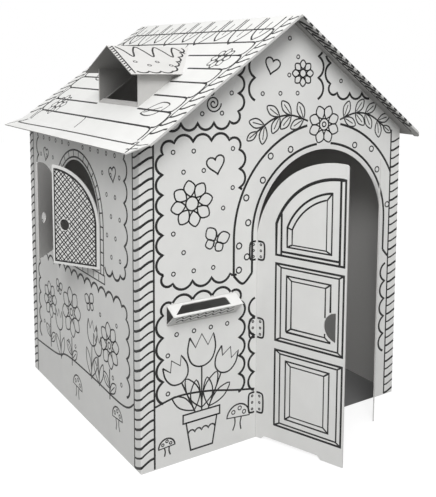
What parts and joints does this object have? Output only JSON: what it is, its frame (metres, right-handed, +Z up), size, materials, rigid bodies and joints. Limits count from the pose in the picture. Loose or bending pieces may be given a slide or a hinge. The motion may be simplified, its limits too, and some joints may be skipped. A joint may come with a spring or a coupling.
{
  "type": "cardboard playhouse",
  "caption": "Folded cardboard playhouse with a pitched roof and dormer, an arched doorway with two leaves, a shuttered arched window and a letterbox.",
  "frame": {"origin": "middle of the footprint on the floor", "axes": "+X along the front wall to the right, +Y to the back, +Z up"},
  "size_m": [1.0297, 1.185, 1.1989],
  "materials": {
    "wall_board": "matte white liner with black line print",
    "roof_board": "matte white liner with black line print",
    "leaf_board": "matte white liner with black line print"
  },
  "bodies": {
    "house": {"walls": "wall_board", "roof_sheet": "roof_board", "dormer_body": "wall_board", "dormer_roof": "roof_board", "letterbox": "wall_board"},
    "left_leaf": {"door_left": "leaf_board"},
    "right_leaf": {"door_right": "leaf_board"},
    "front_shutter": {"shutter_front": "leaf_board"},
    "rear_shutter": {"shutter_rear": "leaf_board"}
  },
  "joints": [
    {"name": "door_left_crease", "type": "hinge", "parent": "house", "child": "left_leaf", "pos_m": [-0.093, -0.425, 0.4], "axis": [0, 0, -1], "range_deg": [-70.8, 68]},
    {"name": "door_right_crease", "type": "hinge", "parent": "house", "child": "right_leaf", "pos_m": [0.371, -0.425, 0.4], "axis": [0, 0, 1], "range_deg": [-46.3, 125]},
    {"name": "shutter_front_crease", "type": "hinge", "parent": "house", "child": "front_shutter", "pos_m": [-0.45, -0.167, 0.63], "axis": [0, 0, 1], "range_deg": [-30, 145]},
    {"name": "shutter_rear_crease", "type": "hinge", "parent": "house", "child": "rear_shutter", "pos_m": [-0.45, 0.167, 0.63], "axis": [0, 0, -1], "range_deg": [-39.5, 138]}
  ]
}
